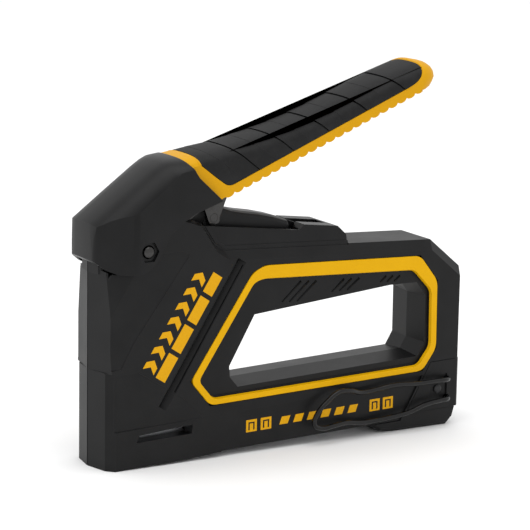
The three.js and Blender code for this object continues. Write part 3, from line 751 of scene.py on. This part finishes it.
# %% Shells
SIDE_Y = 15
PANEL_DEPTH = 2.1
GROOVE = [(65.6, 88.6), (24.6, 25.4)]
GROOVE_HALF, GROOVE_DEPTH = 2.6, 2.4
RIBS = [[(99.0, 74.8), (88.8, 65.9)], [(103.3, 74.4), (92.8, 65.5)], [(107.5, 74.0), (97.0, 65.3)],
        [(122.9, 73.0), (116.2, 67.5)], [(127.2, 72.8), (120.4, 67.4)], [(131.5, 72.5), (124.7, 67.3)],
        [(146.7, 71.7), (143.4, 68.9)], [(150.7, 71.4), (147.3, 68.7)], [(154.7, 71.0), (151.3, 68.5)]]
RIB_HALF, RIB_DEPTH = 0.65, 0.75
NEAR_NOSE = [(9.5, 57.2), (3.2, 46.2), (-8, 45.6), (-8, 96), (34, 96), (38, 94.4), (36.5, 91.9)]
NEAR_NOSE_DEPTHS = [0.12, 0.12, 0.9, 0.9, 0.6, 0.12, 0.12]
BELOW_NOSE = [(46, 18.3), (-8, 17.6), (-8, 43.8), (12, 43.8), (34, 30)]
BELOW_NOSE_DEPTHS = [0.1, 0.55, 0.55, 0.35, 0.1]


def groove_cutter(start, end, half_width, depth, sign, surface=SIDE_Y):
    """A bar with a V-shaped section along a line on one side face."""
    a, b = Vector(start), Vector(end)
    aside = Vector((-(b - a).y, (b - a).x)).normalized() * half_width * 1.25
    outer = surface + depth * 0.25
    rings = []
    for spot in (a, b):
        rings.append([(spot.x + aside.x, sign * outer, spot.y + aside.y),
                      (spot.x, sign * (surface - depth), spot.y),
                      (spot.x - aside.x, sign * outer, spot.y - aside.y)])
    return loft(rings)


def sloped_cutter(outline, depths, sign):
    """A plug on one side face whose floor lies at its own depth under each corner."""
    floor_ring = [(x, sign * (SIDE_Y - d), z) for (x, z), d in zip(outline, depths)]
    top_ring = [(x, sign * (SIDE_Y + 2), z) for x, z in outline]
    return loft([floor_ring, top_ring])


NOSE_PLAN = [(-5.2, 0.02), (-2.4, 11.2), (14, 15), (20, 15), (20, 0.02)]
NOSE_TOP = [(-6, 86), (-6, 92.4), (-2.7, 89.9), (1.6, 88.3), (4, 86)]
NECK_PLAN = [(-5.2, 0.02), (-3.3, 7.6), (1.2, 10.6), (14, 14.4), (20, 14.4), (20, 0.02)]
NECK = [(-6, 86), (-6, 95.8), (3, 98), (9, 98), (9, 86)]
STRIKER_WELL = [(-1.4, 78), (22, 78), (22, 102), (-1.4, 102)]
STRIKER_SLOT = [(-2.8, 78), (22, 78), (22, 102), (-2.8, 102)]
SEAM = [(-8, -2), (-8, 93), (-4.3, 93), (-4.3, -2)]
SEAM_HALF = 0.3


def shell_piece(node, sign):
    """One finished half shell; sign is -1 for the left and 1 for the right."""
    shape = solid_copy(node)
    for plan, side in ((NOSE_PLAN, NOSE_TOP), (NECK_PLAN, NECK)):
        cap = plan_slab([(x, sign * y) for x, y in plan], 80, 100)
        cap = carve(cap, slab(STRIKER_WELL, -11.8, 11.8))
        cap = carve(cap, slab(STRIKER_SLOT, -3.7, 3.7))
        shape = carve(shape, carve(cap, slab(side, -20, 20), "INTERSECT"), "UNION")
    shape = carve(shape, slab(SEAM, -SEAM_HALF, SEAM_HALF))
    shape = carve(shape, sloped_cutter(NEAR_NOSE, NEAR_NOSE_DEPTHS, sign))
    shape = carve(shape, sloped_cutter(BELOW_NOSE, BELOW_NOSE_DEPTHS, sign))
    shape = carve(shape, groove_cutter(*GROOVE, GROOVE_HALF, GROOVE_DEPTH, sign))
    for start, end in RIBS:
        rib = groove_cutter(start, end, RIB_HALF, RIB_DEPTH, sign, SIDE_Y - PANEL_DEPTH)
        shape = carve(shape, rib)
    piece = add_piece(node + "_shape", shape, housing_black, [node])
    return round_edges(piece, 0.4, 9, flat=True)


shells = [shell_piece("left_shell", -1), shell_piece("right_shell", 1)]
print("shell corners:", [len(piece.data.vertices) for piece in shells])

# %% [markdown]
# A flat yellow frame line lies in a groove round each sunk panel. It is a closed band,
# carved from a plate, with an inner wall that slopes in towards the panel.

# %% Yellow trims
TRIM_OUTER = [(77.9, 84.8), (71.4, 82), (39.3, 35.8), (49.5, 23.5), (167.7, 23.7), (175.4, 33.8),
              (175, 66.6), (164.7, 79.6)]
TRIM_INNER = [(77.5, 78.8), (72.2, 77.5), (43.4, 35.6), (51.2, 26.1), (165.2, 26.4), (172.2, 35),
              (171.7, 62.4), (161.4, 73.3)]


def trim_band(sign):
    """The closed band on one side, cut from a plate."""
    outer = rounded(TRIM_OUTER, 3.2)
    inner = rounded(TRIM_INNER, 2.6)
    plate = loft([[(x, sign * y, z) for x, z in outer] for y in (13.7, 15.3)])
    mouth = [(pull_in(inner, 0.5), 12), (pull_in(inner, 0.5), 13.6), (inner, 14.9), (inner, 17)]
    return carve(plate, loft([[(x, sign * y, z) for x, z in points] for points, y in mouth]))


for node, sign in (("left_trim", -1), ("right_trim", 1)):
    trim = add_piece(node + "_shape", trim_band(sign), frame_yellow, [node])
    round_edges(trim, 0.3, 25, 3)
print("trims made")

# %% [markdown]
# The raised cover, the arched link, the rear cap and the foot keep their solids' shapes, with the
# small radii that moulding and pressing leave. The cover also gets a thin bead along each side, and
# the steel lever inside the handle is trimmed where it would hang below the handle's bar.

# %% Cover, link, rear cap and foot
BELOW_BAR = [(56.8, 100), (57, 108), (62.4, 120.6), (101, 135.2), (110, 100)]
lever = carve(solid_copy("handle_core"), slab(BELOW_BAR, -12, 12))
core = round_edges(add_piece("handle_core_shape", lever, oiled_steel, ["handle_core"]), 0.25)
COVER_BEAD = [(47.8, 105), (53, 97.3), (57.7, 94.1), (125.2, 89.6), (125, 90.9), (58.3, 95.3),
              (54, 98.3), (49, 105)]
top = solid_copy("top_cover")
for y0, y1 in ((-12, -11.2), (11.2, 12)):
    top = carve(top, slab(COVER_BEAD, y0, y1), "UNION")
cover = round_edges(add_piece("top_cover_shape", top, cover_black, ["top_cover"]), 0.4, flat=True)
link = dress("arched_link_shape", "arched_link", cover_black, 0.5)
rear = dress("rear_cap_shape", "rear_cap", housing_black, 0.35)
foot = dress("magazine_foot", "pusher_handle", housing_black, 0.5)
print("dressed:", [piece.name for piece in (core, cover, link, rear, foot)])

# %% [markdown]
# The belt hook is one bent wire. A smooth curve runs through its listed bends, and a round bevel on
# the curve gives it thickness before it is turned into a mesh.

# %% Belt hook
HOOK_ROUTE = [
    (182.6, -11.6, 17.8), (182.6, -15.4, 17.8), (180.4, -18.2, 18.4), (174, -19, 18.8),
    (161, -19, 19.1), (150, -18.6, 20), (139, -17.4, 18.9), (131, -17.4, 18.8), (123.5, -19, 21.1),
    (116.7, -19.2, 21.2), (110.5, -19.2, 17.4), (105.2, -19.2, 12.4), (103.8, -19.2, 7.8),
    (107.6, -19, 5.3), (115, -18.6, 5.3), (123.2, -17.6, 5.4), (132, -17, 4), (139, -17, 3.9),
    (149.6, -17.8, 4.5), (158.5, -18.4, 5.6), (167.4, -18.6, 8), (176.4, -18.6, 8.8),
    (180.8, -18, 8.8), (182.7, -15.4, 8.7), (182.7, -11.6, 8.7),
]
HOOK_WIRE = 1.18


def wire_mesh(name, route, radius_mm):
    """A bmesh tube along a smooth route of tool points."""
    curve = bpy.data.curves.new(name, "CURVE")
    curve.dimensions = "3D"
    curve.bevel_depth = radius_mm * MM
    curve.bevel_resolution = 4
    curve.use_fill_caps = True
    line = curve.splines.new("BEZIER")
    line.bezier_points.add(len(route) - 1)
    line.resolution_u = 6
    for point, spot in zip(line.bezier_points, route):
        point.co = place(*spot)
        point.handle_left_type = "AUTO"
        point.handle_right_type = "AUTO"
    helper = bpy.data.objects.new(name, curve)
    bpy.context.scene.collection.objects.link(helper)
    bpy.context.view_layer.update()
    data = bpy.data.meshes.new_from_object(helper.evaluated_get(bpy.context.evaluated_depsgraph_get()))
    shape = bmesh.new()
    shape.from_mesh(data)
    bpy.data.meshes.remove(data)
    bpy.data.objects.remove(helper)
    bpy.data.curves.remove(curve)
    bmesh.ops.remove_doubles(shape, verts=shape.verts, dist=0.002 * MM)
    return shape


hook = add_piece("belt_hook_wire", wire_mesh("hook", HOOK_ROUTE, HOOK_WIRE), hook_black, ["belt_hook"])
hook.data.shade_smooth()
hook.data.set_sharp_from_angle(angle=math.radians(50))
print("hook faces:", len(hook.data.polygons))

# %% [markdown]
# Printed marks are thin paint films on the left side. The first is a row of chevrons over a slanted
# bar with notches.

# %% Printed marks
FILM = 0.07
paint = Finish("mark_paint", Specular_IOR_Level=0.15)
wear = (paint.noise(0.8, 4, 0.7) - 0.52).most(0) * 1.4
paint.colour(paint.blend(wear.least(1), (0.69, 0.345, 0.0, 1), (0.5, 0.23, 0.002, 1)))
paint.rough(0.46 + wear * 0.3)
paint.relief(paint.noise(0.4, 3), 0.01)


def film(points, surface):
    """A thin flat patch on the left side, on a face at the given distance from the centre plane."""
    return slab(points, -surface - FILM, -surface + 0.02)


MARK_SLOPE = Vector((50.2, 85.2)) - Vector((20.5, 40.4))
MARK_BASE = Vector((20.9, 40.4))
BAR_PIECES = [(0, 12.5), (14.6, 27.0), (29.1, 41.5), (43.6, 53.4)]
CHEVRON = [(0, 1.6), (3.4, 1.6), (5.8, 4.9), (3.4, 8.2), (0, 8.2), (2.4, 4.9)]
CHEVRONS, CHEVRON_START, CHEVRON_PITCH = 7, 0.4, 7.4


def mark_shapes():
    """The bar's pieces and the chevrons, drawn along the slanted line and beside it."""
    along = MARK_SLOPE.normalized()
    aside = Vector((-along.y, along.x))

    def patch(corners):
        return film([tuple(MARK_BASE + along * u + aside * v) for u, v in corners], SIDE_Y)

    shapes = [patch([(a, -5.6), (b, -5.6), (b, 0), (a, 0)]) for a, b in BAR_PIECES]
    for step in range(CHEVRONS):
        start = CHEVRON_START + step * CHEVRON_PITCH
        shapes.append(patch([(start + u, v) for u, v in CHEVRON]))
    return shapes


marks = add_piece("slanted_mark", joined(mark_shapes()), paint.material, [], "housing")
print("mark faces:", len(marks.data.polygons))

# %% [markdown]
# The second mark lies in the lower recess: two pairs of squares with a dark staple in each, left free
# of paint, and a row of slanted dashes between them.

# %% Label marks
LABEL_Y = 14.2
PICTURES = (69.5, 77.4, 138.2, 145.8)
PICTURE_LOW, PICTURE_HIGH = 7.7, 13.4
DASHES, DASH_START, DASH_PITCH = 6, 87.6, 7.6


def label_shapes():
    """Five painted blocks that leave each staple clear, then the dashes."""
    def block(x0, z0, x1, z1):
        return film([(x0, z0), (x1, z0), (x1, z1), (x0, z1)], LABEL_Y)

    shapes = []
    z0, z1 = PICTURE_LOW, PICTURE_HIGH
    for x in PICTURES:
        shapes += [block(x, z0, x + 1.2, z1), block(x + 4.6, z0, x + 5.8, z1)]
        shapes += [block(x + 1.2, z1 - 1.1, x + 4.6, z1), block(x + 1.2, z0, x + 4.6, z0 + 0.8)]
        shapes += [block(x + 2, z0 + 0.8, x + 3.8, z1 - 1.8)]
    for step in range(DASHES):
        x = DASH_START + step * DASH_PITCH
        shapes.append(film([(x, 8.8), (x + 4.6, 8.8), (x + 6, 12.4), (x + 1.4, 12.4)], LABEL_Y))
    return shapes


label = add_piece("label_mark", joined(label_shapes()), paint.material, [], "housing")
print("label faces:", len(label.data.polygons))

# %% [markdown]
# Most of the pieces inside show only through gaps and when the tool moves. They keep their solids, as
# the nose plate and the screws do, and take their finishes from the metals and rubbers above.

# %% Finishes for the solids that stay
KEPT = {
    "link_pin": oiled_steel, "rocker_pin": polished_steel,
    "nose_plate": polished_steel, "striker_blade": polished_steel, "staple_strip": polished_steel,
    "hammer_block": zinc_steel, "spring_seat": zinc_steel, "magazine_channel": zinc_steel,
    "pusher_rail": zinc_steel, "return_spring": spring_steel, "power_spring": spring_steel,
    "pusher_spring": spring_steel, "lift_rocker": black_steel, "staple_pusher": black_steel,
    "hook_screw": black_steel, "bumper": bumper_rubber,
}
for number in range(1, 6):
    KEPT[f"housing_screw_{number}"] = zinc_steel
for node, material in KEPT.items():
    solid = frame["nodes"][node]
    solid.data.materials.clear()
    solid.data.materials.append(material)
print("solids kept:", len(KEPT))
